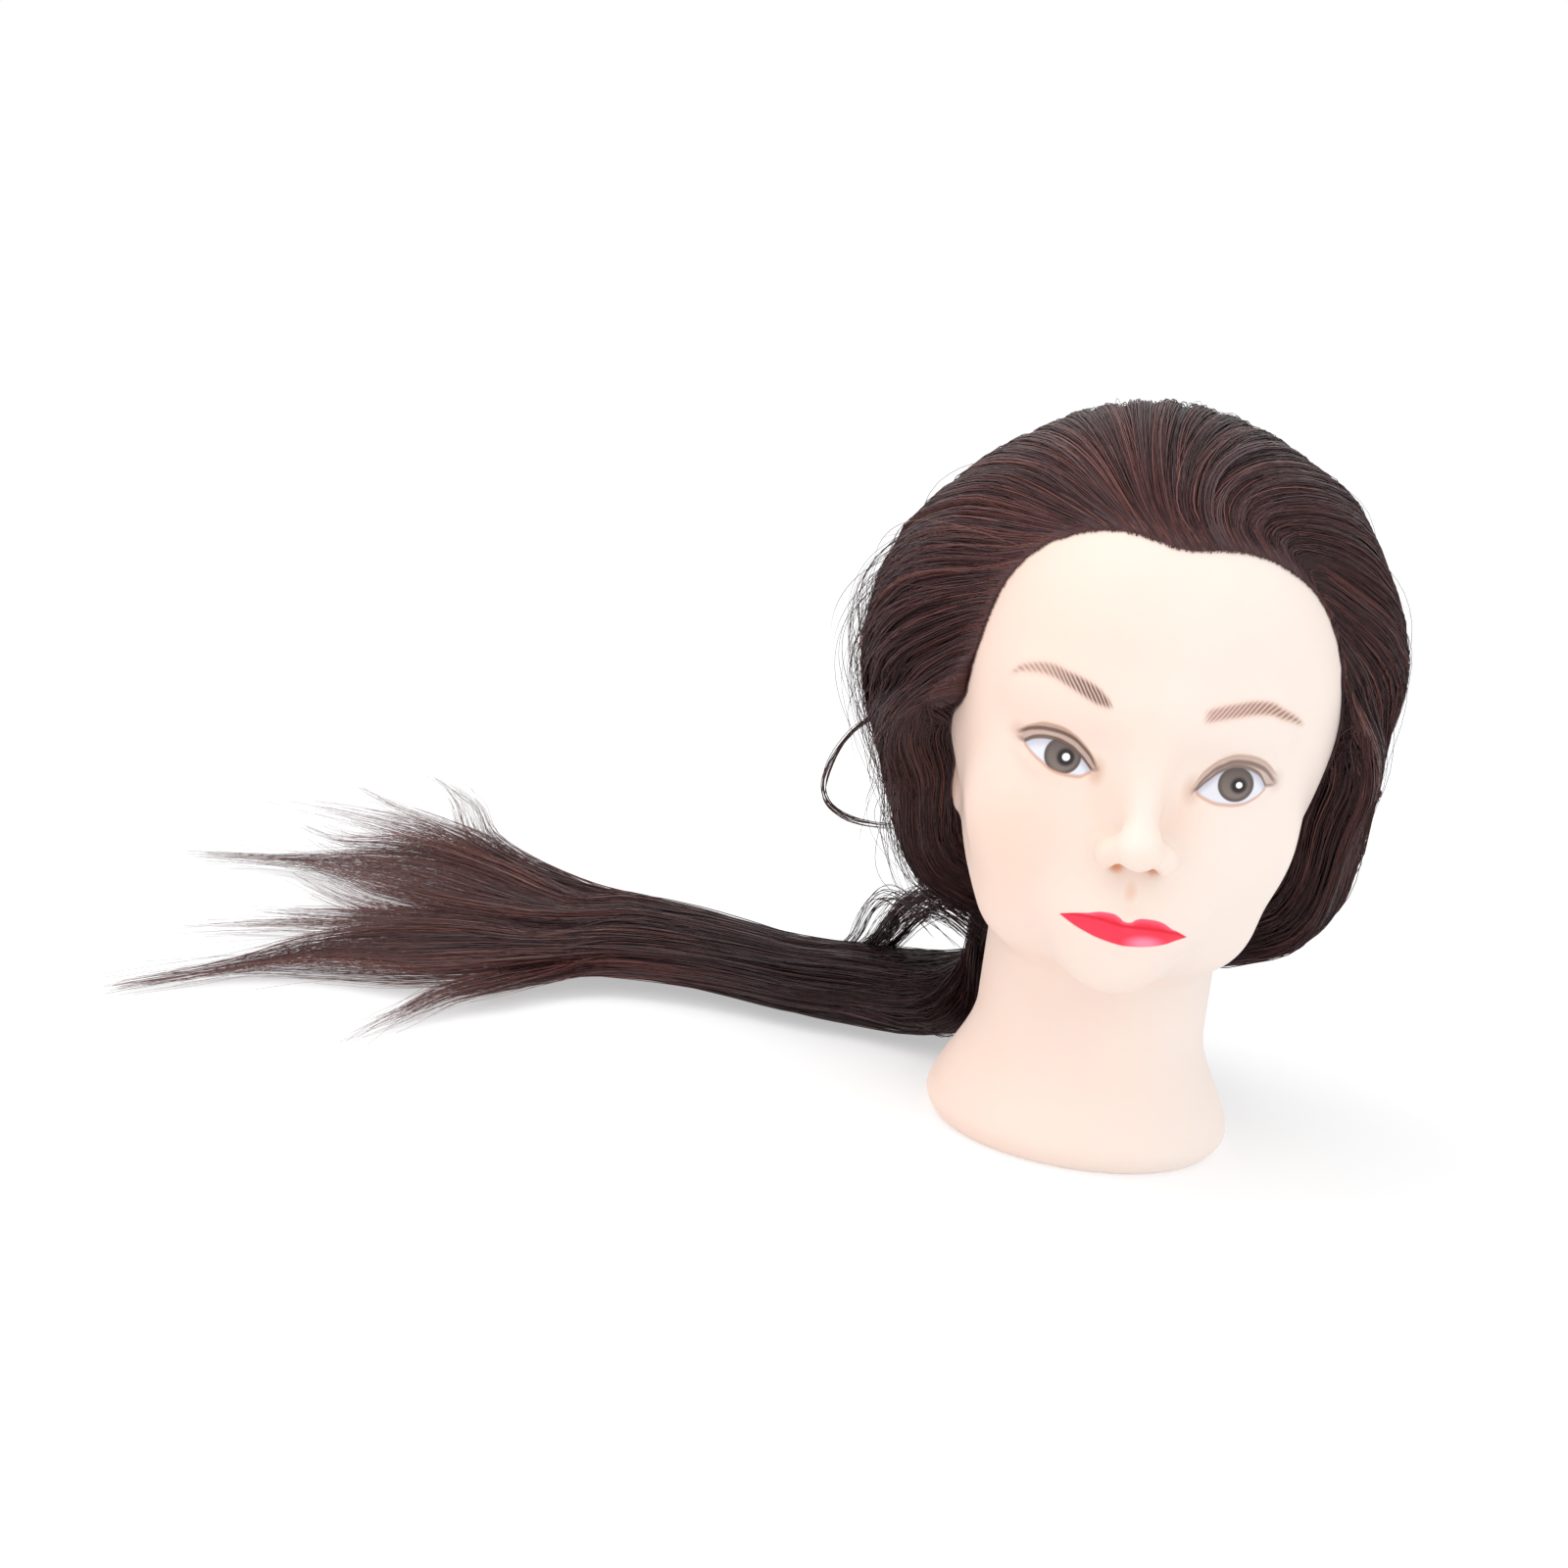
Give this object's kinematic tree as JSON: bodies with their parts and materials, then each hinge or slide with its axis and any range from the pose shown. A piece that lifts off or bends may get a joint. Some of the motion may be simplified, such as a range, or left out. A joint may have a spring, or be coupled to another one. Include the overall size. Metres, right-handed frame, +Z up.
{
  "type": "mannequin training head",
  "caption": "Female hairdressing practice head in moulded vinyl with long dark rooted hair swept to one side, and a clamp socket under its neck base.",
  "frame": {"origin": "centre of the clamp socket's mouth, in the plane of the neck base's underside", "axes": "+Z up through the crown, -Y the way the face looks, +X to the viewer's right as the face is seen; the loose hair lies out along -X"},
  "size_m": [0.4699, 0.3733, 0.2708],
  "materials": {
    "vinyl_skin": "soft satin moulded vinyl in a pale peach skin tone, with painted eyes, brows and red lips",
    "scalp": "dark matte cap that the hair is rooted in",
    "foam": "rigid foam filling, not seen from outside",
    "base_plastic": "orange-brown moulded plastic",
    "hair": "very dark brown synthetic fibre with a soft sheen"
  },
  "bodies": {
    "root": {"head_skin": "vinyl_skin", "scalp_cap": "scalp", "foam_core": "foam", "clamp_socket": "base_plastic", "base_plate": "base_plastic", "front_hair_left": "hair", "front_hair_right": "hair", "side_hair_left": "hair", "side_hair_right": "hair", "crown_hair_left": "hair", "crown_hair_right": "hair", "back_hair_left": "hair", "back_hair_right": "hair", "nape_hair_left": "hair", "nape_hair_right": "hair", "fall_hair": "hair", "tail_front_lock": "hair", "tail_middle_lock": "hair", "tail_back_lock": "hair", "tip_front": "hair", "tip_long": "hair", "tip_middle_short": "hair", "tip_middle_long": "hair", "tip_back_low": "hair", "tip_back_high": "hair", "loose_strand": "hair"}
  },
  "joints": []
}
